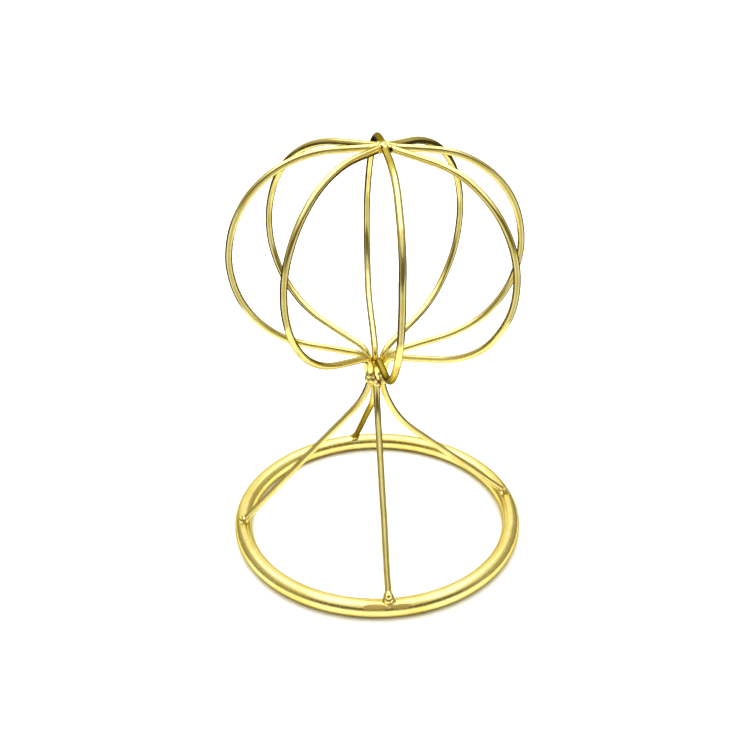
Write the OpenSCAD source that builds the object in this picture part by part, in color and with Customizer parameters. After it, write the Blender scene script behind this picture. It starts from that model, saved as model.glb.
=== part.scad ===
// Welded wire cage on a ring base: a round rod ring on the table, four bent
// legs gathered into one neck, and eight bowed ribs from the neck to a crown.
// Millimetres, +Z up, z = 0 under the ring, the ring centred on X = Y = 0,
// front towards -Y.  Every list goes round from the front towards +X.

/* [Base ring] */
// Radius of the ring, to the middle of its rod
ring_r = 80; // [74:1:90]
// Diameter of the ring's rod
rod_d = 10; // [7:0.5:12]

/* [Wire] */
// Diameter of the wire of the legs and the ribs
wire_d = 3.7; // [3:0.1:4.2]

/* [Legs] */
// Height of the legs' upper ends inside the neck
leg_top = 110; // [109:0.5:112]
// Height at which the legs begin to bend outwards
leg_bend_z = 108; // [104:0.5:108.5]
// Distance of each leg's wire from the neck's axis
leg_gather = 2.7; // [2.2:0.1:3.2]
// Radius of the bend at the top of each leg
leg_bend_r = [40, 60, 50, 38]; // [20:1:65]
// How far each leg is turned off its quarter
leg_off = [-4.1, 3.3, 1.7, -0.5]; // [-6:0.1:6]

/* [Ribs] */
// Height of the ribs' ends at the crown
crown_z = 233; // [228:0.5:238]
// Distance of the ribs' ends from the crown's axis
crown_gather = 3.3; // [2.8:0.1:4.5]
// Radius of the upper half of each rib's bow
bow_r = 55; // [50:0.5:57]
// Height at which the ribs stand upright in the neck
root_z = 108.5; // [105:0.5:112]
// Distance of each rib's wire from the neck's axis
root_gather = 4.9; // [4.2:0.1:6]
// Radius of the bend of each rib into the neck
root_bend_r = 10; // [8:0.5:12]
// Length of each rib's upright end in the neck
root_len = 8; // [5:0.5:10]
// How far each rib is turned off its eighth
rib_off = [-1.6, 4.5, 1.3, -2.5, -2.4, -0.7, 2.8, -1]; // [-5:0.1:5]
// Fall of each rib as it leaves the crown, in degrees
crown_fall = [1.3, 4.9, 4.7, 6, 6.3, 8.4, 1.7, 1.4]; // [0:0.1:9]
// Straight length of each rib before its bow
crown_run = [22, 24.4, 22.1, 19.3, 18, 28, 21.6, 18.2]; // [16:0.1:28]
// Fall of each rib below its bow, towards the neck, in degrees
root_fall = [11.7, 15.1, 15.2, 18, 16.4, 13.1, 14.8, 15]; // [11:0.1:19]
// Lean of the whole cage towards +X, in degrees
cage_lean = 2.3; // [0:0.1:3]
// Height of the point that the cage leans about
lean_z = 104; // [100:1:108]

/* [Welds] */
// Radius of the foot of each leg's weld
foot_weld_r = 3.9; // [3.5:0.1:4.6]
// Height of each leg's weld above the top of the ring
foot_weld_h = 3; // [2:0.1:4]
// Radius of the crown's weld
crown_weld_r = 3.9; // [3.4:0.1:4.6]
// Radius of the neck's weld
neck_weld_r = 4.9; // [4.4:0.1:5.6]

/* [View] */
// Which sub-part to draw

/* [Hidden] */
$fn = 48;
wire_r = wire_d / 2;
rod_r = rod_d / 2;
// Each joint in a wire closes with a ball a touch fatter than the wire
joint_r = wire_r * 1.03;
joint_gap = 0.2;
// The legs end this deep in the ring's top
leg_sink = 1.2;
weld_sink = 2.2;
lump_r = 0.62;

// A wire is drawn in the X-Y plane by a pen that starts at the origin and
// heads along +X.  Each step draws its length and hands the pen on.
module joint() {
    rotate([0, 90, 0])
        sphere(r = joint_r);
}

module run(len) {
    translate([joint_gap, 0, 0])
        rotate([0, 90, 0])
            cylinder(r = wire_r, h = len - 2 * joint_gap);
    translate([len, 0, 0])
        children();
}

// Turns right by the angle, or left where it is negative
module bend(rad, angle) {
    side = sign(angle);
    gap_angle = joint_gap / rad * 180 / PI;
    translate([0, -side * rad, 0]) {
        rotate([0, 0, (side > 0 ? 90 - angle : -90) + gap_angle])
            rotate_extrude(angle = abs(angle) - 2 * gap_angle)
                translate([rad, 0])
                    circle(r = wire_r);
        rotate([0, 0, -angle])
            translate([0, side * rad, 0])
                children();
    }
}

// Stands the pen's plane upright, with its X along the named direction
module upright(direction) {
    rotate([0, 0, direction - 90])
        rotate([90, 0, 0])
            children();
}

function leg_direction(i) = 90 * i + leg_off[i];
function rib_direction(i) = 45 * i + rib_off[i];

module base_ring() {
    color("khaki")
        translate([0, 0, rod_r])
            rotate_extrude()
                translate([ring_r, 0])
                    circle(r = rod_r);
}

// From the neck down: upright, bent outwards, then straight to the ring.
// The bend ends where its tangent meets the foot.
module leg(i) {
    rad = leg_bend_r[i];
    dx = ring_r - leg_gather - rad;
    dz = rod_d - leg_bend_z;
    reach = sqrt(dx * dx + dz * dz - rad * rad);
    swing = atan2(dz, dx) - atan2(-reach, -rad);
    color("goldenrod")
        upright(leg_direction(i))
            translate([leg_gather, leg_top, 0])
                rotate([0, 0, -90])
                    run(leg_top - leg_bend_z) {
                        joint();
                        bend(rad, -swing) {
                            joint();
                            run(reach + leg_sink);
                        }
                    }
}

// From the crown down: a straight run, the upper and lower halves of the
// bow, a straight fall inwards and a bend down into the neck.  The lower
// bow's radius and the inward run are what closes the wire on the neck.
module rib(i) {
    fall = crown_fall[i];
    root = root_fall[i];
    in_x = root_gather - crown_gather - crown_run[i] * cos(fall)
        - bow_r * (1 - sin(fall)) + root_bend_r * (1 - sin(root));
    in_z = crown_z - crown_run[i] * sin(fall) - bow_r * cos(fall)
        - root_bend_r * cos(root) - root_z;
    root_run = -in_z - in_x * cos(root) / (1 - sin(root));
    low_r = (in_z - root_run * sin(root)) / cos(root);
    color("gold")
        translate([0, 0, lean_z])
            rotate([0, cage_lean, 0])
                translate([0, 0, -lean_z])
                    upright(rib_direction(i))
                        translate([crown_gather, crown_z, 0])
                            rotate([0, 0, -fall])
                                run(crown_run[i]) {
                                    joint();
                                    bend(bow_r, 90 - fall) {
                                        joint();
                                        bend(low_r, 90 - root) {
                                            joint();
                                            run(root_run) {
                                                joint();
                                                bend(root_bend_r, root - 90) {
                                                    joint();
                                                    run(root_len);
                                                }
                                            }
                                        }
                                    }
                                }
}

// A flared bead around the foot of a leg
module foot_weld(i) {
    flare = foot_weld_r - joint_r;
    color("darkkhaki")
        rotate([0, 0, leg_direction(i) - 90])
            translate([ring_r, 0, rod_d - weld_sink])
                rotate_extrude()
                    difference() {
                        square([foot_weld_r, weld_sink + foot_weld_h]);
                        translate([foot_weld_r, weld_sink + foot_weld_h])
                            circle(r = flare);
                    }
}

// A lumpy filling between the wires, one ball for each of a few heaps
module neck_weld() {
    r = neck_weld_r;
    color("darkkhaki") {
        translate([0, 0, root_z - 3])
            sphere(r = r);
        translate([0, 0, root_z - 8])
            sphere(r = r * 0.9);
        for (direction = [-38, 55, 165])
            rotate([0, 0, direction])
                translate([0, -r * 0.55, root_z - 7])
                    sphere(r = r * lump_r);
    }
}

module crown_weld() {
    r = crown_weld_r;
    color("darkkhaki")
        translate([0, 0, lean_z])
            rotate([0, cage_lean, 0])
                translate([0, 0, crown_z - lean_z]) {
                    sphere(r = r);
                    for (direction = [20, 130, 255])
                        rotate([0, 0, direction])
                            translate([0, -r * 0.6, r * 0.15])
                                sphere(r = r * lump_r);
                }
}

base_ring();
leg(0);  // leg_front
leg(1);  // leg_right
leg(2);  // leg_back
leg(3);  // leg_left
foot_weld(0);  // foot_weld_front
foot_weld(1);  // foot_weld_right
foot_weld(2);  // foot_weld_back
foot_weld(3);  // foot_weld_left
neck_weld();
rib(0);  // rib_front
rib(1);  // rib_front_right
rib(2);  // rib_right
rib(3);  // rib_back_right
rib(4);  // rib_back
rib(5);  // rib_back_left
rib(6);  // rib_left
rib(7);  // rib_front_left
crown_weld();
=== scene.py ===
"""Welded wire cage on a ring base: bent wires, weld beads, a satin gold coating and a plain stage.

Run as a script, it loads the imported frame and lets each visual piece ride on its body.
Bends, welds and their settings are in millimetres; meshes, the stage and the camera are in metres.
"""

import math

import bmesh
import bpy
import numpy as np
from mathutils import Matrix, Vector, noise


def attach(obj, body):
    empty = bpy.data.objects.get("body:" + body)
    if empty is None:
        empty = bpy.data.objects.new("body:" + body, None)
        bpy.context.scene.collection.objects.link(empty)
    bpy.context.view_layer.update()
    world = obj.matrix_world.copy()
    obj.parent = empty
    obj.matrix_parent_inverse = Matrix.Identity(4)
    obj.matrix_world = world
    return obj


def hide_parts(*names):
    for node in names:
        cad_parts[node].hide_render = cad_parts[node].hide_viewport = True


bl_info = {
    "name": "Wire Cage Stand",
    "version": (1, 0, 0),
    "blender": (4, 5, 0),
    "location": "3D View > Sidebar > Wire Cage",
    "description": "Builds a welded wire cage stand with a ring base on its packed frame",
    "category": "Object",
}

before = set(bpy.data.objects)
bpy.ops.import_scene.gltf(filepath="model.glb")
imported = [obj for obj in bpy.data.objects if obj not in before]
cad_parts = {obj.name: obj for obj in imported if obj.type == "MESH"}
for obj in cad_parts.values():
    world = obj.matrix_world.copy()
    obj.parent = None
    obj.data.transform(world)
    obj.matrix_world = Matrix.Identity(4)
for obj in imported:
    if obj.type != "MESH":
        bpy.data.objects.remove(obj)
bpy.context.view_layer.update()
MM = 0.001

LEGS = ("leg_front", "leg_right", "leg_back", "leg_left")
RIBS = ("rib_front", "rib_front_right", "rib_right", "rib_back_right",
        "rib_back", "rib_back_left", "rib_left", "rib_front_left")
FOOT_WELDS = ("foot_weld_front", "foot_weld_right", "foot_weld_back", "foot_weld_left")

RING_POINTS = 240
NOISE_GAIN = 4.0
# Sizes of the coating's marks, as noise scales on metre coordinates
SPECK_SCALE, BLOTCH_SCALE, PIT_SCALE = 900.0, 480.0, 1100.0
BUMP_HEIGHT = 0.00006

# What the metal mirrors: radiance of each part of the studio
DIM_FRONT = (0.14, 0.12, 0.08)
SIDE_WALL = (0.46, 0.43, 0.36)
BACK_WALL = (1.2, 1.2, 1.15)
CEILING = (0.96, 0.96, 0.95)
DARK_FLOOR = (0.05, 0.04, 0.02)
LOW_CARD = (1.0, 1.0, 0.96)
BACKDROP = (0.93, 0.93, 0.93)


# ---------------------------------------------------------------- settings

class RingSettings(bpy.types.PropertyGroup):
    """Sizes of the base ring."""
    radius: bpy.props.FloatProperty(
        name="Ring radius", description="From the middle of the ring to the middle of its rod, mm. "
        "A little under the nominal 80, so that the waver stays inside the ring's box",
        default=79.9, min=60.0, max=110.0)
    rod_radius: bpy.props.FloatProperty(
        name="Rod radius", description="Half the thickness of the ring's rod, mm",
        default=5.0, min=3.0, max=7.0)
    waver: bpy.props.FloatProperty(
        name="Waver", description="How far the rolled rod strays from a true circle, mm",
        default=0.05, min=0.0, max=1.0)
    dressed_half_length: bpy.props.FloatProperty(
        name="Dressed length", description="Half the length of the patch ground flat at the front weld, mm",
        default=17.0, min=0.0, max=30.0)
    dressed_depth: bpy.props.FloatProperty(
        name="Dressed depth", description="How deep the grinding bit into the rod, mm",
        default=0.2, min=0.0, max=0.6)


class WireSettings(bpy.types.PropertyGroup):
    """Sizes and bends of the legs and ribs. Lists go round from the front towards +X."""
    radius: bpy.props.FloatProperty(
        name="Wire radius", description="Half the thickness of the wire, mm",
        default=1.85, min=1.0, max=3.0)
    waver: bpy.props.FloatProperty(
        name="Waver", description="How far a hand-bent wire strays from its rule, mm",
        default=0.25, min=0.0, max=2.0)
    leg_top: bpy.props.FloatProperty(
        name="Leg top", description="Height of the legs' ends inside the neck, mm", default=110.0)
    leg_bend_z: bpy.props.FloatProperty(
        name="Leg bend height", description="Height at which the legs start outwards, mm", default=108.0)
    leg_gather: bpy.props.FloatProperty(
        name="Leg gather", description="Distance of each leg from the neck's axis, mm", default=2.7)
    leg_bend: bpy.props.FloatVectorProperty(
        name="Leg bends", description="Radius of each leg's bend, mm", size=4,
        default=(40.0, 60.0, 50.0, 38.0))
    leg_turn: bpy.props.FloatVectorProperty(
        name="Leg turns", description="How far each leg is off its quarter, degrees", size=4,
        default=(-4.1, 3.3, 1.7, -0.5))
    crown_z: bpy.props.FloatProperty(
        name="Crown height", description="Height of the ribs' ends at the crown, mm", default=233.0)
    crown_gather: bpy.props.FloatProperty(
        name="Crown gather", description="Distance of the ribs' ends from the crown's axis, mm",
        default=3.3)
    bow: bpy.props.FloatProperty(
        name="Bow", description="Radius of the upper half of a rib's bow, mm", default=55.0)
    root_z: bpy.props.FloatProperty(
        name="Root height", description="Height at which ribs stand upright in the neck, mm", default=108.5)
    root_gather: bpy.props.FloatProperty(
        name="Root gather", description="Distance of each rib from the neck's axis, mm", default=4.9)
    root_bend: bpy.props.FloatProperty(
        name="Root bend", description="Radius of each rib's bend into the neck, mm", default=10.0)
    root_length: bpy.props.FloatProperty(
        name="Root length", description="Tail of each rib in the neck, mm", default=8.0)
    root_tuck: bpy.props.FloatProperty(
        name="Root tuck", description="How far each tail's end is squeezed in towards the axis, mm",
        default=1.0)
    rib_turn: bpy.props.FloatVectorProperty(
        name="Rib turns", description="How far each rib is off its eighth, degrees", size=8,
        default=(-1.6, 4.5, 1.3, -2.5, -2.4, -0.7, 2.8, -1.0))
    crown_fall: bpy.props.FloatVectorProperty(
        name="Crown falls", description="Fall of each rib as it leaves the crown, degrees", size=8,
        default=(1.3, 4.9, 4.7, 6.0, 6.3, 8.4, 1.7, 1.4))
    crown_run: bpy.props.FloatVectorProperty(
        name="Crown runs", description="Straight length of each rib before its bow, mm", size=8,
        default=(22.0, 24.4, 22.1, 19.3, 18.0, 28.0, 21.6, 18.2))
    root_fall: bpy.props.FloatVectorProperty(
        name="Root falls", description="Fall of each rib under its bow, degrees", size=8,
        default=(11.7, 15.1, 15.2, 18.0, 16.4, 13.1, 14.8, 15.0))
    lean: bpy.props.FloatProperty(
        name="Cage lean", description="Lean of the cage towards +X, degrees", default=2.3)
    lean_z: bpy.props.FloatProperty(
        name="Lean height", description="Height of the point that the cage leans about, mm", default=104.0)


class WeldSettings(bpy.types.PropertyGroup):
    """Sizes of the weld beads."""
    grain: bpy.props.FloatProperty(
        name="Grain", description="Size of the finest shape in a weld, mm", default=0.16, min=0.1, max=0.5)
    softness: bpy.props.IntProperty(
        name="Softness", description="How far a weld flows into the wires", default=7, min=0, max=30)
    foot_radius: bpy.props.FloatVectorProperty(
        name="Foot radii", description="Radius of the bead at each foot, mm", size=4,
        default=(3.9, 3.4, 3.1, 3.4))
    neck_radius: bpy.props.FloatProperty(
        name="Neck radius", description="Radius of the neck's weld, mm", default=4.9)
    crown_radius: bpy.props.FloatProperty(
        name="Crown radius", description="Radius of the crown's weld, mm", default=3.8)


class FinishSettings(bpy.types.PropertyGroup):
    """The gold coating."""
    gold: bpy.props.FloatVectorProperty(
        name="Gold", description="Colour of the coating", subtype="COLOR", size=3,
        default=(0.92, 0.79, 0.30), min=0.0, max=1.0)
    deep_gold: bpy.props.FloatVectorProperty(
        name="Deep gold", description="Colour of the coating where it is thicker", subtype="COLOR", size=3,
        default=(0.82, 0.66, 0.19), min=0.0, max=1.0)
    edge: bpy.props.FloatVectorProperty(
        name="Edge tint", description="Tint of the coating seen edge-on", subtype="COLOR", size=3,
        default=(0.14, 0.11, 0.03), min=0.0, max=1.0)
    rod_edge: bpy.props.FloatVectorProperty(
        name="Rod edge tint", description="Tint of the ring's thicker coating seen edge-on",
        subtype="COLOR", size=3, default=(0.34, 0.29, 0.14), min=0.0, max=1.0)
    # Brown of the ground and heated metal; on welds it also browns pinholes as painted shade
    scorch_and_shade: bpy.props.FloatVectorProperty(
        name="Scorch", description="Colour of the ground and heated metal", subtype="COLOR", size=3,
        default=(0.52, 0.38, 0.11), min=0.0, max=1.0)
    # Near-black painted into a weld's deepest gaps and blow-holes as shade
    gap_shade: bpy.props.FloatVectorProperty(
        name="Soot", description="Colour of the burnt metal in a weld's deepest gaps", subtype="COLOR",
        size=3, default=(0.05, 0.03, 0.01), min=0.0, max=1.0)
    roughness: bpy.props.FloatProperty(
        name="Roughness", description="Dullness of the coating", default=0.21, min=0.0, max=1.0)


class StageSettings(bpy.types.PropertyGroup):
    """Floor, lights and camera."""
    floor: bpy.props.FloatVectorProperty(
        name="Floor", description="Colour of the floor", subtype="COLOR", size=3,
        default=(0.93, 0.93, 0.92), min=0.0, max=1.0)
    floor_radius: bpy.props.FloatProperty(
        name="Floor radius", description="Radius of the floor", default=4.0, unit="LENGTH")
    table_radius: bpy.props.FloatProperty(
        name="Table radius", description="Radius of the floor that the stand mirrors", default=0.19,
        unit="LENGTH")
    key_power: bpy.props.FloatProperty(
        name="Key power", description="Power of the soft light that the metal mirrors, W", default=12.5)
    fill_power: bpy.props.FloatProperty(
        name="Fill power", description="Power of the soft light that only whitens the floor, W",
        default=40.0)
    camera_turn: bpy.props.FloatProperty(
        name="Camera turn", description="Direction of the camera, from the front towards +X, degrees",
        default=-8.2)
    camera_back: bpy.props.FloatProperty(
        name="Camera distance", description="Distance of the camera from the ring's axis", default=0.5033,
        unit="LENGTH")
    camera_aside: bpy.props.FloatProperty(
        name="Camera shift", description="Distance of the camera to the right of the ring's axis",
        default=-0.0005, unit="LENGTH")
    camera_height: bpy.props.FloatProperty(
        name="Camera height", description="Height of the camera", default=0.3988, unit="LENGTH")
    camera_pitch: bpy.props.FloatProperty(
        name="Camera pitch", description="How far the camera looks down, degrees", default=30.44)
    camera_roll: bpy.props.FloatProperty(
        name="Camera roll", description="How far the camera is turned about its own line, degrees",
        default=-0.52)
    lens: bpy.props.FloatProperty(
        name="Lens", description="Focal length on a 36 mm sensor", default=50.5, subtype="DISTANCE_CAMERA")


# ------------------------------------------------------------ wire bending

def arc_points(start, heading, turn, radius, step=3.0):
    """Points of an arc in the wire's plane, to the right where turn is positive."""
    side = math.copysign(1.0, turn)
    h = math.radians(heading)
    centre = start + side * radius * np.array([math.sin(h), -math.cos(h)])
    count = max(2, math.ceil(abs(turn) / step))
    angles = np.radians(heading - np.linspace(0.0, turn, count + 1)[1:])
    return [centre + side * radius * np.array([-math.sin(a), math.cos(a)]) for a in angles]


def stand_up(plane_points, direction):
    """Turns (distance, height) points into 3D ones in the named direction."""
    a = math.radians(direction)
    return np.array([(d * math.sin(a), -d * math.cos(a), z) for d, z in plane_points])


def leg_line(wire, ring, i, sink=1.2):
    """Middle line of a leg: upright in the neck, bent outwards, then straight to the ring.

    Its end goes on into the rod by sink, in mm."""
    rad, top = wire.leg_bend[i], 2.0 * ring.rod_radius
    dx, dz = ring.radius - wire.leg_gather - rad, top - wire.leg_bend_z
    reach = math.sqrt(dx * dx + dz * dz - rad * rad)
    swing = math.degrees(math.atan2(dz, dx) - math.atan2(-reach, -rad))
    points = [np.array([wire.leg_gather, wire.leg_top]), np.array([wire.leg_gather, wire.leg_bend_z])]
    points += arc_points(points[-1], -90.0, -swing, rad)
    a = math.radians(swing - 90.0)
    points.append(points[-1] + (reach + sink) * np.array([math.cos(a), math.sin(a)]))
    return stand_up(points, 90.0 * i + wire.leg_turn[i])


def rib_line(wire, i):
    """Middle line of a rib: crown run, two arcs of the bow, inward run, bend into the neck.

    The lower arc's radius and the inward run's length follow from where the rib has to end."""
    fall, root = math.radians(wire.crown_fall[i]), math.radians(wire.root_fall[i])
    in_x = (wire.root_gather - wire.crown_gather - wire.crown_run[i] * math.cos(fall)
            - wire.bow * (1 - math.sin(fall)) + wire.root_bend * (1 - math.sin(root)))
    in_z = (wire.crown_z - wire.crown_run[i] * math.sin(fall) - wire.bow * math.cos(fall)
            - wire.root_bend * math.cos(root) - wire.root_z)
    root_run = -in_z - in_x * math.cos(root) / (1 - math.sin(root))
    low = (in_z - root_run * math.sin(root)) / math.cos(root)
    heading = -wire.crown_fall[i]
    points = [np.array([wire.crown_gather, wire.crown_z])]
    points.append(points[0] + wire.crown_run[i] * np.array([math.cos(fall), -math.sin(fall)]))
    points += arc_points(points[-1], heading, 90.0 + heading, wire.bow)
    points += arc_points(points[-1], -90.0, 90.0 - wire.root_fall[i], low)
    points.append(points[-1] - root_run * np.array([math.cos(root), math.sin(root)]))
    points += arc_points(points[-1], wire.root_fall[i] - 180.0, wire.root_fall[i] - 90.0,
                         wire.root_bend, 12.0)
    points.append(points[-1] - np.array([wire.root_tuck, wire.root_length]))
    line = stand_up(points, 45.0 * i + wire.rib_turn[i])
    return lean_cage(wire, line)


def lean_cage(wire, points):
    """Leans points of the cage towards +X about the neck."""
    pivot = Vector((0.0, 0.0, wire.lean_z))
    turn = Matrix.Rotation(math.radians(wire.lean), 3, "Y")
    return np.array([turn @ (Vector(p) - pivot) + pivot for p in points])


# ---------------------------------------------------------- geometry nodes

def add_node(tree, kind, settings=None, **inputs):
    """A node with its properties and named inputs set; an input may be a socket to link from."""
    node = tree.nodes.new(kind)
    for key, value in (settings or {}).items():
        setattr(node, key, value)
    for key, value in inputs.items():
        socket = node.inputs[int(key[1:])] if key[0] == "i" and key[1:].isdigit() else node.inputs[key]
        if isinstance(value, bpy.types.NodeSocket):
            tree.links.new(value, socket)
        else:
            socket.default_value = value
    return node


def maths(tree, operation, a, b=0.0):
    """One Math node's result."""
    return add_node(tree, "ShaderNodeMath", {"operation": operation}, i0=a, i1=b).outputs[0]


def ranged(tree, value, low, high, to_low=0.0, to_high=1.0):
    """Maps a value's range smoothly onto another."""
    return add_node(tree, "ShaderNodeMapRange", {"interpolation_type": "SMOOTHSTEP"}, Value=value,
                    i1=low, i2=high, i3=to_low, i4=to_high).outputs[0]


def wire_tree():
    """Node tree that sweeps a round bar along a line, with a little waver and uneven thickness."""
    tree = bpy.data.node_groups.get("Bent Bar")
    if tree:
        return tree
    tree = bpy.data.node_groups.new("Bent Bar", "GeometryNodeTree")
    tree.is_modifier = True
    face = tree.interface
    face.new_socket("Line", in_out="INPUT", socket_type="NodeSocketGeometry")
    for name, default in (("Radius", 0.00185), ("Step", 0.0012), ("Waver", 0.0003),
                          ("Waver Length", 0.03), ("Uneven", 0.02), ("Fade Ends", 1.0)):
        face.new_socket(name, in_out="INPUT", socket_type="NodeSocketFloat").default_value = default
    for name, default in (("Sides", 24), ("Seed", 1)):
        face.new_socket(name, in_out="INPUT", socket_type="NodeSocketInt").default_value = default
    face.new_socket("Coating", in_out="INPUT", socket_type="NodeSocketMaterial")
    face.new_socket("Bar", in_out="OUTPUT", socket_type="NodeSocketGeometry")
    given = tree.nodes.new("NodeGroupInput").outputs
    curve = add_node(tree, "GeometryNodeMeshToCurve", Mesh=given["Line"])
    line = add_node(tree, "GeometryNodeResampleCurve", {"mode": "LENGTH"},
                    Curve=curve.outputs["Curve"], Length=given["Step"])
    along = add_node(tree, "GeometryNodeSplineParameter")
    # The waver dies away over this share of the length at each end, which the welds hold
    held_share = 0.14
    rise = ranged(tree, along.outputs["Factor"], 0.0, held_share)
    drop = ranged(tree, along.outputs["Factor"], 1.0, 1.0 - held_share)
    held = maths(tree, "MULTIPLY", rise, drop)
    free = maths(tree, "SUBTRACT", 1.0, given["Fade Ends"])
    mask = maths(tree, "MAXIMUM", held, free)
    place = add_node(tree, "GeometryNodeInputPosition")
    frequency = maths(tree, "DIVIDE", 1.0, given["Waver Length"])
    stray = add_node(tree, "ShaderNodeTexNoise", {"noise_dimensions": "4D"},
                     Vector=place.outputs[0], W=given["Seed"], Scale=frequency, Detail=1.5)
    centred = add_node(tree, "ShaderNodeVectorMath", {"operation": "SUBTRACT"},
                       i0=stray.outputs["Color"], i1=(0.5, 0.5, 0.5))
    # Noise colours stray from their middle by about a quarter, hence the gain
    reach = maths(tree, "MULTIPLY", maths(tree, "MULTIPLY", given["Waver"], NOISE_GAIN), mask)
    offset = add_node(tree, "ShaderNodeVectorMath", {"operation": "SCALE"},
                      i0=centred.outputs[0], Scale=reach)
    moved = add_node(tree, "GeometryNodeSetPosition", Geometry=line.outputs[0], Offset=offset.outputs[0])
    fine = add_node(tree, "ShaderNodeTexNoise", {"noise_dimensions": "4D"},
                    Vector=place.outputs[0], W=given["Seed"], Scale=260.0, Detail=2.0)
    uneven = maths(tree, "MULTIPLY", maths(tree, "SUBTRACT", fine.outputs[0], 0.5), given["Uneven"])
    thick = maths(tree, "ADD", uneven, 1.0)
    length = add_node(tree, "GeometryNodeCaptureAttribute")
    length.capture_items.new("FLOAT", "Length")
    length.capture_items.new("FLOAT", "Thick")
    tree.links.new(moved.outputs[0], length.inputs["Geometry"])
    tree.links.new(along.outputs["Length"], length.inputs["Length"])
    tree.links.new(thick, length.inputs["Thick"])
    ring = add_node(tree, "GeometryNodeCurvePrimitiveCircle", Resolution=given["Sides"],
                    Radius=given["Radius"])
    around = add_node(tree, "GeometryNodeCaptureAttribute")
    around.capture_items.new("FLOAT", "Around")
    tree.links.new(ring.outputs["Curve"], around.inputs["Geometry"])
    tree.links.new(add_node(tree, "GeometryNodeSplineParameter").outputs["Factor"],
                   around.inputs["Around"])
    bar = add_node(tree, "GeometryNodeCurveToMesh")
    tree.links.new(length.outputs["Geometry"], bar.inputs["Curve"])
    tree.links.new(around.outputs["Geometry"], bar.inputs["Profile Curve"])
    tree.links.new(length.outputs["Thick"], bar.inputs["Scale"])
    bar.inputs["Fill Caps"].default_value = True
    # Length and a unit circle around the bar, for a grain that runs along it
    angle = maths(tree, "MULTIPLY", around.outputs["Around"], 2.0 * math.pi)
    run = add_node(tree, "ShaderNodeCombineXYZ", X=length.outputs["Length"],
                   Y=maths(tree, "COSINE", angle), Z=maths(tree, "SINE", angle))
    kept = add_node(tree, "GeometryNodeStoreNamedAttribute",
                    {"data_type": "FLOAT_VECTOR", "domain": "POINT"},
                    Geometry=bar.outputs[0], Name="bar_run", Value=run.outputs[0])
    smooth = add_node(tree, "GeometryNodeSetShadeSmooth", Geometry=kept.outputs[0])
    real = add_node(tree, "GeometryNodeRealizeInstances", Geometry=smooth.outputs[0])
    coat = add_node(tree, "GeometryNodeSetMaterial", Geometry=real.outputs[0], Material=given["Coating"])
    out = tree.nodes.new("NodeGroupOutput")
    tree.links.new(coat.outputs[0], out.inputs["Bar"])
    return tree


def make_bar(name, points_mm, closed, coating, **inputs):
    """A bar swept along points by the Bent Bar tree, turned into a plain mesh object."""
    points = [Vector(p) * MM for p in points_mm]
    count = len(points)
    edges = [(k, k + 1) for k in range(count - 1)] + ([(count - 1, 0)] if closed else [])
    line = bpy.data.meshes.new(name + "_line")
    line.from_pydata(points, edges, [])
    obj = bpy.data.objects.new(name, line)
    bpy.context.collection.objects.link(obj)
    tree = wire_tree()
    bend = obj.modifiers.new("Bend", "NODES")
    bend.node_group = tree
    sockets = {s.name: s.identifier for s in tree.interface.items_tree if s.in_out == "INPUT"}
    bend[sockets["Coating"]] = coating
    for key, value in inputs.items():
        bend[sockets[key.replace("_", " ")]] = value
    mesh = bpy.data.meshes.new_from_object(obj.evaluated_get(bpy.context.evaluated_depsgraph_get()))
    obj.modifiers.remove(bend)
    obj.data = mesh
    mesh.name = name
    bpy.data.meshes.remove(line)
    return obj


# ------------------------------------------------------------------- welds

def make_lump(name, balls, weld, coating, seed, rough, pits, burns_and_shade):
    """A weld bead: balls melted together, smoothed, then dimpled, pitted, browned and darkened with painted
    shade.

    balls are (centre, radius) and pits are (centre, radius, depth), all in mm. burns_and_shade are
    (centre, radius, darkening), where a darkening of 1 browns the coating and 2 paints near-black shade."""
    shape = bmesh.new()
    for centre, radius in balls:
        bmesh.ops.create_icosphere(shape, subdivisions=3, radius=radius,
                                   matrix=Matrix.Translation(Vector(centre)))
    bmesh.ops.scale(shape, vec=(MM, MM, MM), verts=shape.verts)
    raw = bpy.data.meshes.new(name + "_raw")
    shape.to_mesh(raw)
    shape.free()
    obj = bpy.data.objects.new(name, raw)
    bpy.context.collection.objects.link(obj)
    melt = obj.modifiers.new("Melt", "REMESH")
    melt.mode = "VOXEL"
    melt.voxel_size = weld.grain * MM
    mesh = bpy.data.meshes.new_from_object(obj.evaluated_get(bpy.context.evaluated_depsgraph_get()))
    obj.modifiers.remove(melt)
    obj.data = mesh
    bpy.data.meshes.remove(raw)
    mesh.name = name
    shape = bmesh.new()
    shape.from_mesh(mesh)
    for _ in range(weld.softness):
        bmesh.ops.smooth_vert(shape, verts=shape.verts, factor=0.5,
                              use_axis_x=True, use_axis_y=True, use_axis_z=True)
    shape.normal_update()
    shift = Vector((seed * 3.7, seed * 1.3, seed * 2.1))
    moves = []
    for v in shape.verts:
        at = v.co / MM
        swell = noise.fractal(at * 0.45 + shift, 0.9, 2.2, 2)
        dimple = noise.noise(at * 1.6 + shift)
        depth = rough * (swell + 0.2 * dimple)
        for centre, radius, pit in pits:
            near = (at - Vector(centre)).length / radius
            if near < 1.0:
                depth -= pit * (1.0 - near * near) ** 2
        moves.append(v.normal * depth * MM)
    for v, move in zip(shape.verts, moves):
        v.co += move
    shape.normal_update()
    for f in shape.faces:
        f.smooth = True
    shape.to_mesh(mesh)
    shape.free()
    # Per-vertex level of browning, and of painted shade where it runs high
    scorch_and_shade = mesh.attributes.new("scorch_and_shade", "FLOAT", "POINT")
    for k, v in enumerate(mesh.vertices):
        at = v.co / MM
        darkenings = [darkening * (1.0 - ((at - Vector(centre)).length / radius) ** 2)
                 for centre, radius, darkening in burns_and_shade]
        scorch_and_shade.data[k].value = max(0.0, *darkenings)
    mesh.materials.clear()
    mesh.materials.append(coating)
    return obj


# --------------------------------------------------------------- materials

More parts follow.
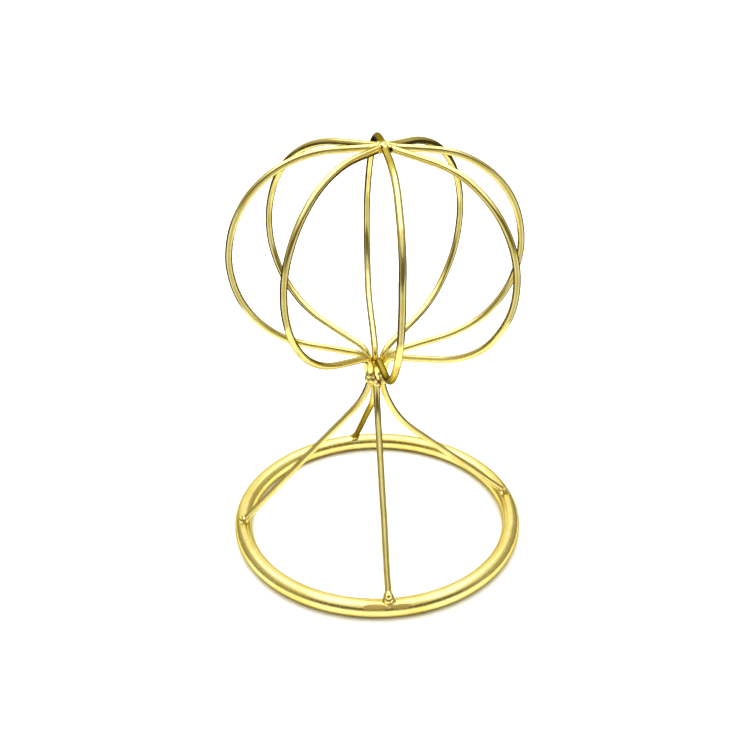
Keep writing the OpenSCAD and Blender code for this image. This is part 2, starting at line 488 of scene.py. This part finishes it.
def new_material(name):
    """An empty node material, with its tree and its shader."""
    material = bpy.data.materials.get(name)
    if material:
        bpy.data.materials.remove(material)
    material = bpy.data.materials.new(name)
    material.use_nodes = True
    tree = material.node_tree
    tree.nodes.clear()
    shader = tree.nodes.new("ShaderNodeBsdfPrincipled")
    out = tree.nodes.new("ShaderNodeOutputMaterial")
    tree.links.new(shader.outputs[0], out.inputs["Surface"])
    return material, tree, shader


def mix_colour(tree, factor, a, b):
    """Mixes two colours, each a socket or plain values."""
    mix = tree.nodes.new("ShaderNodeMix")
    mix.data_type = "RGBA"
    tree.links.new(factor, mix.inputs[0])
    for socket, value in ((mix.inputs[6], a), (mix.inputs[7], b)):
        if isinstance(value, bpy.types.NodeSocket):
            tree.links.new(value, socket)
        else:
            socket.default_value = (*value, 1.0)
    return mix.outputs[2]


def spread(tree, value, gain):
    """A noise value centred on zero and multiplied."""
    return maths(tree, "MULTIPLY", maths(tree, "SUBTRACT", value, 0.5), gain)


def gold_coating(name, finish, edge, cloud, peel=0.09, extra_rough=0.0, grain_name=None,
                 scorched=False, pitted=False):
    """Satin gold coating: clouded colour, uneven gloss and a fine peel.

    grain_name adds a grain along a drawn bar, scorched a ground and browned patch, and pitted a
    weld's pinholes browned as painted shade, its browning and near-black painted shade in its gaps. edge
    tints the metal where it is seen edge-on."""
    material, tree, shader = new_material(name)
    place = tree.nodes.new("ShaderNodeTexCoord").outputs["Object"]
    cloudy = add_node(tree, "ShaderNodeTexNoise", Vector=place, Scale=cloud, Detail=4.0, Roughness=0.6)
    speck = add_node(tree, "ShaderNodeTexNoise", Vector=place, Scale=SPECK_SCALE, Detail=3.0,
                     Roughness=0.7)
    colour = mix_colour(tree, ranged(tree, cloudy.outputs[0], 0.35, 0.72), finish.gold, finish.deep_gold)
    rough = ranged(tree, speck.outputs[0], 0.3, 0.75, finish.roughness - 0.05 + extra_rough,
                   finish.roughness + 0.09 + extra_rough)
    height = maths(tree, "MULTIPLY", speck.outputs[0], peel)
    if grain_name:
        run = add_node(tree, "ShaderNodeAttribute", {"attribute_name": grain_name})
        stretched = add_node(tree, "ShaderNodeMapping", Vector=run.outputs["Vector"],
                             Scale=(60.0, 4.0, 4.0))
        drawn = add_node(tree, "ShaderNodeTexNoise", Vector=stretched.outputs[0], Scale=2.2, Detail=3.0)
        height = maths(tree, "ADD", height, maths(tree, "MULTIPLY", drawn.outputs[0], 0.3))
        colour = mix_colour(tree, ranged(tree, drawn.outputs[0], 0.52, 0.75, 0.0, 0.35), colour,
                            finish.deep_gold)
    if scorched:
        burn_and_shade = add_node(tree, "ShaderNodeAttribute", {"attribute_name": "scorch_and_shade"}).outputs["Fac"]
        blotch = add_node(tree, "ShaderNodeTexNoise", Vector=place, Scale=BLOTCH_SCALE, Detail=4.0,
                          Roughness=0.75)
        ragged = maths(tree, "ADD", burn_and_shade, spread(tree, blotch.outputs[0], 0.9))
        mask = maths(tree, "MULTIPLY", ranged(tree, ragged, 0.42, 0.62), ranged(tree, burn_and_shade, 0.02, 0.2))
        colour = mix_colour(tree, mask, colour, finish.scorch_and_shade)
        rough = maths(tree, "ADD", rough, maths(tree, "MULTIPLY", mask, 0.18))
        ground = maths(tree, "MULTIPLY", blotch.outputs[0], mask)
        height = maths(tree, "ADD", height, maths(tree, "MULTIPLY", ground, 2.5))
    if pitted:
        pit = add_node(tree, "ShaderNodeTexVoronoi", Vector=place, Scale=PIT_SCALE)
        hole = ranged(tree, pit.outputs["Distance"], 0.12, 0.42)
        height = maths(tree, "ADD", height, maths(tree, "MULTIPLY", hole, 0.8))
        # Pinhole centres are browned: painted shade in the dimples
        colour = mix_colour(tree, ranged(tree, hole, 1.0, 0.0, 0.0, 0.6), colour, finish.scorch_and_shade)
        # Brown where a weld's darkening level is low, near-black painted shade where it runs high
        burn_and_shade = add_node(tree, "ShaderNodeAttribute", {"attribute_name": "scorch_and_shade"}).outputs["Fac"]
        patchy = maths(tree, "ADD", burn_and_shade, spread(tree, speck.outputs[0], 0.5))
        colour = mix_colour(tree, ranged(tree, patchy, 0.25, 0.7, 0.0, 0.9), colour, finish.scorch_and_shade)
        colour = mix_colour(tree, ranged(tree, patchy, 1.1, 1.7), colour, finish.gap_shade)
        rough = maths(tree, "ADD", rough, ranged(tree, patchy, 0.25, 1.2, 0.0, 0.22))
    bump = add_node(tree, "ShaderNodeBump", Height=height, Distance=BUMP_HEIGHT)
    bump.inputs["Strength"].default_value = 0.6
    tree.links.new(colour, shader.inputs["Base Color"])
    tree.links.new(rough, shader.inputs["Roughness"])
    tree.links.new(bump.outputs[0], shader.inputs["Normal"])
    shader.inputs["Metallic"].default_value = 1.0
    shader.inputs["Specular Tint"].default_value = (*edge, 1.0)
    return material


def coatings(finish):
    """The three coatings, made once."""
    made = bpy.data.materials
    if "gold_wire_coating" not in made:
        gold_coating("gold_wire_coating", finish, finish.edge, cloud=90.0, extra_rough=-0.04,
                     grain_name="bar_run")
        gold_coating("gold_rod_coating", finish, finish.rod_edge, cloud=45.0, grain_name="bar_run",
                     scorched=True)
        gold_coating("gold_weld_coating", finish, finish.edge, cloud=300.0, peel=0.35,
                     extra_rough=0.03, pitted=True)
    return made["gold_wire_coating"], made["gold_rod_coating"], made["gold_weld_coating"]


def settle(obj, node):
    """Lets a piece stand for its CAD node on the stand's one body."""
    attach(obj, "root")
    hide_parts(node)


# --------------------------------------------------------------- operators

class CAGE_OT_base_ring(bpy.types.Operator):
    """Rolls the base ring and dresses it beside the front weld"""
    bl_idname = "cage.base_ring"
    bl_label = "Base ring"

    def execute(self, context):
        scene = context.scene
        ring, wire = scene.cage_ring, scene.cage_wire
        _, rod_coat, _ = coatings(scene.cage_finish)
        turns = np.linspace(0.0, 2.0 * math.pi, RING_POINTS, endpoint=False)
        line = [(ring.radius * math.sin(t), -ring.radius * math.cos(t), ring.rod_radius) for t in turns]
        obj = make_bar("base_ring_rod", line, True, rod_coat, Radius=ring.rod_radius * MM, Step=0.0014,
                       Waver=ring.waver * MM, Waver_Length=0.05, Uneven=0.006, Fade_Ends=0.0,
                       Sides=56, Seed=11)
        # The waver lifts or sinks the ring a little, so it is set down on the floor again
        low = min(v.co.z for v in obj.data.vertices)
        obj.data.transform(Matrix.Translation((0.0, 0.0, -low)))
        self.dress(obj.data, ring, math.radians(wire.leg_turn[0]))
        settle(obj, "base_ring")
        return {"FINISHED"}

    @staticmethod
    def dress(mesh, ring, direction):
        """Grinds a long shallow flat on the outer upper side of the rod and marks it scorched."""
        scorch_and_shade = mesh.attributes.new("scorch_and_shade", "FLOAT", "POINT")
        # The flat faces outwards and upwards, this far above level
        slope = math.radians(46.0)
        for k, v in enumerate(mesh.vertices):
            x, y, z = v.co / MM
            away = (math.atan2(x, -y) - direction + math.pi) % (2 * math.pi) - math.pi
            along = away * ring.radius
            fade = 1.0 - abs(along) / ring.dressed_half_length
            if fade <= 0.0:
                continue
            out = math.hypot(x, y) - ring.radius
            up = z - ring.rod_radius
            lift = out * math.cos(slope) + up * math.sin(slope)
            # Two strokes of the grinder: a broad one on the left, a slimmer one on the right
            left = math.exp(-abs((along + 7.2) / 5.0) ** 3)
            right = 0.5 * math.exp(-((along - 6.0) / 5.5) ** 2)
            broad = max(left, right)
            uneven = noise.noise(Vector((along * 0.5, 0.0, 3.1))) * 0.05
            limit = ring.rod_radius - (ring.dressed_depth * broad + uneven) * min(1.0, fade * 2.6)
            if lift > limit:
                push = limit - lift
                flat_out, flat_up = out + push * math.cos(slope), up + push * math.sin(slope)
                radius = ring.radius + flat_out
                angle = math.atan2(x, -y)
                v.co = Vector((radius * math.sin(angle), -radius * math.cos(angle),
                               flat_up + ring.rod_radius)) * MM
            # The brown is widest where the stroke is broadest, and its border is soft
            border = 1.0 - 0.066 * broad
            brown = 0.5 + (lift / ring.rod_radius - border) * 26.0
            scorch_and_shade.data[k].value = max(0.0, min(1.0, brown)) * min(1.0, 3.0 * broad)


class CAGE_OT_legs(bpy.types.Operator):
    """Bends the four legs from the neck to the ring"""
    bl_idname = "cage.legs"
    bl_label = "Legs"

    def execute(self, context):
        scene = context.scene
        wire_coat, _, _ = coatings(scene.cage_finish)
        for i, name in enumerate(LEGS):
            obj = make_bar(name + "_wire", leg_line(scene.cage_wire, scene.cage_ring, i), False, wire_coat,
                           Radius=scene.cage_wire.radius * MM, Waver=0.6 * scene.cage_wire.waver * MM,
                           Seed=20 + i)
            settle(obj, name)
        return {"FINISHED"}


class CAGE_OT_ribs(bpy.types.Operator):
    """Bends the eight bowed ribs of the cage"""
    bl_idname = "cage.ribs"
    bl_label = "Ribs"

    def execute(self, context):
        scene = context.scene
        wire_coat, _, _ = coatings(scene.cage_finish)
        for i, name in enumerate(RIBS):
            obj = make_bar(name + "_wire", rib_line(scene.cage_wire, i), False, wire_coat,
                           Radius=scene.cage_wire.radius * MM, Waver=scene.cage_wire.waver * MM,
                           Seed=40 + i)
            settle(obj, name)
        return {"FINISHED"}


class CAGE_OT_foot_welds(bpy.types.Operator):
    """Runs a flared, pitted bead round the foot of each leg"""
    bl_idname = "cage.foot_welds"
    bl_label = "Foot welds"

    def execute(self, context):
        scene = context.scene
        weld, wire, ring = scene.cage_weld, scene.cage_wire, scene.cage_ring
        _, _, weld_coat = coatings(scene.cage_finish)
        for i, name in enumerate(FOOT_WELDS):
            line = leg_line(wire, ring, i, sink=0.0)
            foot = Vector(line[-1])
            up = (Vector(line[-2]) - foot).normalized()
            a = math.radians(90.0 * i + wire.leg_turn[i])
            out = Vector((math.sin(a), -math.cos(a), 0.0))
            side = Vector((math.cos(a), math.sin(a), 0.0))
            r = weld.foot_radius[i]
            lean = side * (1.5 if i % 2 == 0 else -1.2)
            # A skirt that flares from the wire to the rod, with four uneven lobes and a blow-hole
            balls = [(foot + up * rise * r, size * r) for rise, size in
                     ((1.15, 0.50), (0.90, 0.56), (0.65, 0.66), (0.40, 0.78), (0.15, 0.84))]
            balls += [(foot + lean + out * 0.10 * r - Vector((0, 0, 0.16 * r)), r * 0.64),
                      (foot - lean * 0.9 + out * 0.10 * r - Vector((0, 0, 0.22 * r)), r * 0.60),
                      (foot + lean * 0.5 - out * 0.35 * r - Vector((0, 0, 0.15 * r)), r * 0.60),
                      (foot + lean * 0.2 + out * 0.40 * r - Vector((0, 0, 0.26 * r)), r * 0.50)]
            hole = foot + up * 0.55 * r + (out * 0.62 + Vector((0, 0, 0.40))) * r * 0.90
            pits = [(hole, 1.3, 1.0), (hole, 0.42, -0.35)]
            # The bead's lower outer lip is browned and a little darkened, and its blow-hole painted
            # near-black as shade
            lip = foot + out * 1.05 * r - Vector((0, 0, 0.45 * r))
            burns_and_shade = [(lip, 0.95 * r, 1.3), (hole, 1.0, 1.6)]
            obj = make_lump(name + "_bead", balls, weld, weld_coat, seed=3 + i, rough=0.09, pits=pits,
                            burns_and_shade=burns_and_shade)
            settle(obj, name)
        return {"FINISHED"}


class CAGE_OT_neck_weld(bpy.types.Operator):
    """Fills the neck between the wires with a lumpy weld"""
    bl_idname = "cage.neck_weld"
    bl_label = "Neck weld"

    def execute(self, context):
        scene = context.scene
        weld, wire = scene.cage_weld, scene.cage_wire
        _, _, weld_coat = coatings(scene.cage_finish)
        r, z = weld.neck_radius, wire.root_z
        balls = [((0, 0, z - 3.2), r * 0.80), ((0, 0, z - 7.0), r * 0.86), ((0.2, 0, z - 10.0), r * 0.70)]
        # A string of balls melts each rib's tail to its neighbours, heavier on some than on others
        for i in range(len(RIBS)):
            tail = rib_line(wire, i)
            end, above = Vector(tail[-1]), Vector(tail[-2])
            heavy = 0.5 + 0.5 * math.sin(i * 2.4 + 0.9)
            for share, size in ((0.55, 1.93), (0.72, 2.05 + 0.1 * heavy), (0.88, 2.15 + 0.35 * heavy),
                                (1.02, 2.05 + 0.35 * heavy)):
                balls.append((above.lerp(end, share) - Vector((end.x, end.y, 0.0)) * 0.03, size))
        # The last bead, run over the front left tails, ends beside a deep cleft
        balls += [((-2.2, -4.6, z - 5.2), 3.0), ((-3.4, -3.6, z - 2.8), 2.7), ((-0.4, -4.9, z - 7.6), 2.5),
                  ((2.9, -4.0, z - 4.6), 2.4), ((1.2, -5.2, z - 1.6), 2.3), ((3.2, -3.2, z - 7.6), 2.2)]
        top, bottom = Vector((-1.6, -7.2, z - 0.6)), Vector((2.6, -7.0, z - 7.4))
        cleft = [top.lerp(bottom, k / 7) for k in range(8)]
        pits = [(point, 1.35, 1.5) for point in cleft]
        # The cleft and two spots beside it are painted near-black as shade, with browned fringes
        burns_and_shade = [(point, 1.9, 2.6) for point in cleft]
        burns_and_shade += [(Vector((-1.8, -6.8, z + 0.6)), 2.2, 2.4), (Vector((5.4, -4.6, z - 3.4)), 1.8, 1.4)]
        obj = make_lump("neck_weld_bead", balls, weld, weld_coat, seed=17, rough=0.14, pits=pits,
                        burns_and_shade=burns_and_shade)
        settle(obj, "neck_weld")
        return {"FINISHED"}


class CAGE_OT_crown_weld(bpy.types.Operator):
    """Joins the ribs' upper ends with a small lumpy weld"""
    bl_idname = "cage.crown_weld"
    bl_label = "Crown weld"

    def execute(self, context):
        scene = context.scene
        weld, wire = scene.cage_weld, scene.cage_wire
        _, _, weld_coat = coatings(scene.cage_finish)
        middle = Vector(lean_cage(wire, [(0.0, 0.0, wire.crown_z)])[0])
        r = weld.crown_radius
        balls = [(middle, r * 0.78), (middle + Vector((-1.3, -1.6, 0.9)), 2.2),
                 (middle + Vector((1.6, 0.9, 0.8)), 2.1)]
        for i in range(len(RIBS)):
            line = rib_line(wire, i)
            start, onward = Vector(line[0]), Vector(line[1])
            run = (onward - start).normalized()
            heavy = 0.5 + 0.5 * math.sin(i * 2.9 + 0.4)
            for reach, size in ((-1.5, 2.2), (0.0, 2.15 + 0.2 * heavy), (1.4 + 0.8 * heavy, 2.05)):
                balls.append((start + run * reach + Vector((0, 0, 0.25 * math.sin(i * 3.3))), size))
        pits = [(middle + Vector((4.4, -3.6, 1.4)), 1.7, 1.0),
                (middle + Vector((3.0, -2.6, 2.2)), 1.1, 0.6),
                (middle + Vector((-2.4, -4.2, 1.4)), 1.0, 0.5)]
        # Each pit, and the gaps on both sides of the front rib, are painted near-black as shade, with
        # browned fringes
        burns_and_shade = [(pits[0][0], 2.2, 2.6), (pits[1][0], 1.4, 1.6), (pits[2][0], 1.7, 2.2),
                 (middle + Vector((2.2, -5.0, 0.2)), 2.0, 2.4),
                 (middle + Vector((-1.2, -5.4, 0.4)), 1.4, 1.6)]
        obj = make_lump("crown_weld_bead", balls, weld, weld_coat, seed=29, rough=0.14, pits=pits,
                        burns_and_shade=burns_and_shade)
        settle(obj, "crown_weld")
        return {"FINISHED"}


class CAGE_OT_stage(bpy.types.Operator):
    """Sets the pale floor, the soft lights and the camera"""
    bl_idname = "cage.stage"
    bl_label = "Stage"

    def execute(self, context):
        scene = context.scene
        stage = scene.cage_stage
        self.floor(stage)
        self.world(scene)
        # The key softbox is what the metal shines back; the fill only whitens the floor
        self.softbox("key_softbox", (0.0, 0.27, 1.2), (1.5, 1.45), stage.key_power)
        fill = self.softbox("fill_softbox", (0.0, 0.5, 2.2), (3.0, 3.0), stage.fill_power)
        fill.visible_glossy = False
        self.camera(scene, stage)
        scene.view_settings.view_transform = "Standard"
        return {"FINISHED"}

    @staticmethod
    def floor(stage):
        """A round floor with a small round table in its middle, level with it."""
        material, tree, shader = new_material("pale_floor")
        place = tree.nodes.new("ShaderNodeTexCoord").outputs["Object"]
        speck = add_node(tree, "ShaderNodeTexNoise", Vector=place, Scale=700.0, Detail=2.0)
        tree.links.new(mix_colour(tree, speck.outputs[0], stage.floor, [c * 0.985 for c in stage.floor]),
                       shader.inputs["Base Color"])
        shader.inputs["Roughness"].default_value = 0.6
        shader.inputs["Specular IOR Level"].default_value = 0.2
        # The floor's far part is left out of reflections, as if the stand stood on a small pale table
        sides, inner, outer = 96, stage.table_radius, stage.floor_radius
        turns = [2.0 * math.pi * k / sides for k in range(sides)]
        rims = [[(r * math.cos(t), r * math.sin(t), 0.0) for t in turns] for r in (inner, outer)]
        quads = [(k, (k + 1) % sides, sides + (k + 1) % sides, sides + k) for k in range(sides)]
        for name, points, faces in (("table", rims[0], [tuple(range(sides))]),
                                    ("floor", rims[0] + rims[1], [q[::-1] for q in quads])):
            mesh = bpy.data.meshes.new(name)
            mesh.from_pydata(points, [], faces)
            mesh.materials.append(material)
            obj = bpy.data.objects.new(name, mesh)
            obj.visible_glossy = name == "table"
            bpy.context.collection.objects.link(obj)

    @staticmethod
    def world(scene):
        """A plain pale backdrop; the metal mirrors a studio that is dim in front.

        It has grey side walls, a bright wall behind the stand, a bright ceiling and low cards."""
        world = bpy.data.worlds.new("studio")
        world.use_nodes = True
        tree = world.node_tree
        tree.nodes.clear()
        way = tree.nodes.new("ShaderNodeTexCoord").outputs["Generated"]
        parts = add_node(tree, "ShaderNodeSeparateXYZ", Vector=way)
        height = parts.outputs["Z"]
        level = maths(tree, "SQRT", maths(tree, "MAXIMUM", maths(tree, "SUBTRACT", 1.0, maths(
            tree, "MULTIPLY", height, height)), 0.0001))
        front = maths(tree, "DIVIDE", maths(tree, "MULTIPLY", parts.outputs["Y"], -1.0), level)
        room = mix_colour(tree, ranged(tree, front, 0.2, 0.75), SIDE_WALL, DIM_FRONT)
        behind = ranged(tree, front, -0.78, -0.93)
        room = mix_colour(tree, behind, room, BACK_WALL)
        above = mix_colour(tree, ranged(tree, height, 0.54, 0.70), room, CEILING)
        card = maths(tree, "MULTIPLY", ranged(tree, front, 0.1, 0.4),
                     ranged(tree, front, 0.95, 0.75, 0.6, 1.0))
        skirting = maths(tree, "MULTIPLY", behind, ranged(tree, height, -0.38, -0.20))
        below = mix_colour(tree, skirting, DARK_FLOOR, BACK_WALL)
        below = mix_colour(tree, card, below, LOW_CARD)
        mirrored = mix_colour(tree, ranged(tree, height, -0.02, 0.18), below, above)
        seen = tree.nodes.new("ShaderNodeLightPath").outputs["Is Camera Ray"]
        colour = mix_colour(tree, seen, mirrored, BACKDROP)
        back = add_node(tree, "ShaderNodeBackground", Color=colour)
        back.inputs["Strength"].default_value = 1.0
        out = tree.nodes.new("ShaderNodeOutputWorld")
        tree.links.new(back.outputs[0], out.inputs["Surface"])
        scene.world = world

    @staticmethod
    def softbox(name, place, size, power):
        """A rectangular soft light that faces straight down."""
        lamp = bpy.data.lights.new(name, "AREA")
        lamp.shape = "RECTANGLE"
        lamp.size, lamp.size_y = size
        lamp.energy = power
        obj = bpy.data.objects.new(name, lamp)
        obj.location = place
        bpy.context.collection.objects.link(obj)
        return obj

    @staticmethod
    def camera(scene, stage):
        """The camera, turned about the ring's axis and looking down at the stand."""
        data = bpy.data.cameras.new("camera")
        data.lens = stage.lens
        data.sensor_width = 36.0
        data.clip_start = 0.01
        obj = bpy.data.objects.new("camera", data)
        turn = Matrix.Rotation(math.radians(stage.camera_turn), 4, "Z")
        tilt = Matrix.Rotation(math.radians(90.0 - stage.camera_pitch), 4, "X")
        roll = Matrix.Rotation(math.radians(stage.camera_roll), 4, "Z")
        place = Matrix.Translation((stage.camera_aside, -stage.camera_back, stage.camera_height))
        obj.matrix_world = turn @ place @ tilt @ roll
        bpy.context.collection.objects.link(obj)
        scene.camera = obj


class CAGE_PT_panel(bpy.types.Panel):
    """Lists the pieces of the wire cage stand"""
    bl_idname = "CAGE_PT_panel"
    bl_label = "Wire Cage Stand"
    bl_space_type = "VIEW_3D"
    bl_region_type = "UI"
    bl_category = "Wire Cage"

    def draw(self, context):
        for operator in OPERATORS:
            self.layout.operator(operator.bl_idname)
        for group in ("cage_ring", "cage_wire", "cage_weld", "cage_finish", "cage_stage"):
            box = self.layout.box()
            settings = getattr(context.scene, group)
            for name in settings.__annotations__:
                box.prop(settings, name)


OPERATORS = (CAGE_OT_base_ring, CAGE_OT_legs, CAGE_OT_ribs, CAGE_OT_foot_welds, CAGE_OT_neck_weld,
             CAGE_OT_crown_weld, CAGE_OT_stage)
SETTINGS = {"cage_ring": RingSettings, "cage_wire": WireSettings, "cage_weld": WeldSettings,
            "cage_finish": FinishSettings, "cage_stage": StageSettings}


def register():
    for kind in (*SETTINGS.values(), *OPERATORS, CAGE_PT_panel):
        bpy.utils.register_class(kind)
    for name, kind in SETTINGS.items():
        setattr(bpy.types.Scene, name, bpy.props.PointerProperty(type=kind))


def unregister():
    for name in SETTINGS:
        delattr(bpy.types.Scene, name)
    for kind in reversed((*SETTINGS.values(), *OPERATORS, CAGE_PT_panel)):
        bpy.utils.unregister_class(kind)


def main():
    register()
    bpy.ops.cage.base_ring()
    bpy.ops.cage.legs()
    bpy.ops.cage.ribs()
    bpy.ops.cage.foot_welds()
    bpy.ops.cage.neck_weld()
    bpy.ops.cage.crown_weld()
    bpy.ops.cage.stage()


if __name__ == "__main__":
    main()
